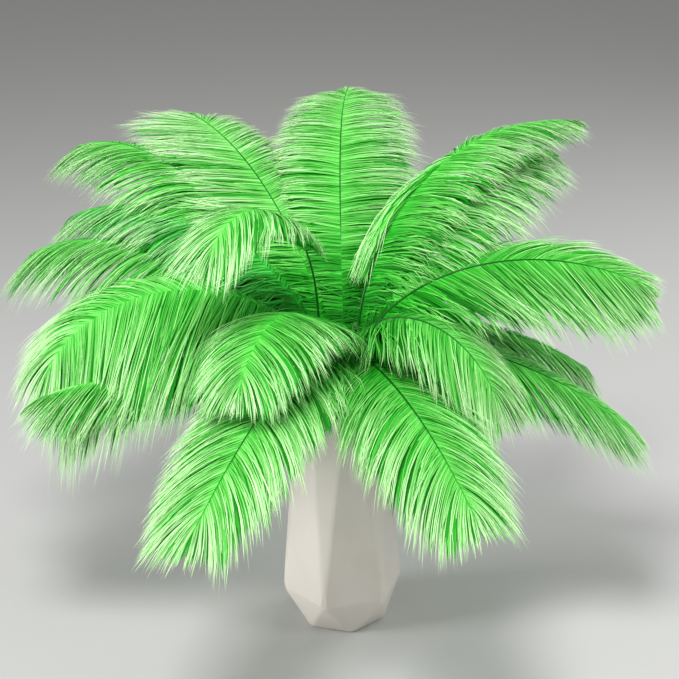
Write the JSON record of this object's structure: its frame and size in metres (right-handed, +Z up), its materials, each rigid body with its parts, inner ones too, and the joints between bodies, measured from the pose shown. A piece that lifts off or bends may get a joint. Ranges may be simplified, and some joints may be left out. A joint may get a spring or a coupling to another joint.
{
  "type": "ostrich feather bouquet in a vase",
  "caption": "Arching green-dyed ostrich plumes with soft hanging barbs, standing in a white faceted ceramic vase.",
  "frame": {"origin": "middle of the vase's flat foot, on the surface it stands on", "axes": "+Z up along the vase, -Y towards the front of the bunch, +X to the right seen from the front"},
  "size_m": [0.5266, 0.5243, 0.3853],
  "materials": {
    "vase_ceramic": "white glazed ceramic, satin, roughness about 0.35",
    "feather_green": "bright green dyed ostrich barbs, soft sheen, paler at their tips, darker at the shaft"
  },
  "bodies": {
    "root": {"vase": "vase_ceramic", "feather_01": "feather_green", "feather_02": "feather_green", "feather_03": "feather_green", "feather_04": "feather_green", "feather_05": "feather_green", "feather_06": "feather_green", "feather_07": "feather_green", "feather_08": "feather_green", "feather_09": "feather_green", "feather_10": "feather_green", "feather_11": "feather_green", "feather_12": "feather_green", "feather_13": "feather_green", "feather_14": "feather_green", "feather_15": "feather_green", "feather_16": "feather_green", "feather_17": "feather_green", "feather_18": "feather_green", "feather_19": "feather_green", "feather_20": "feather_green"}
  },
  "joints": []
}
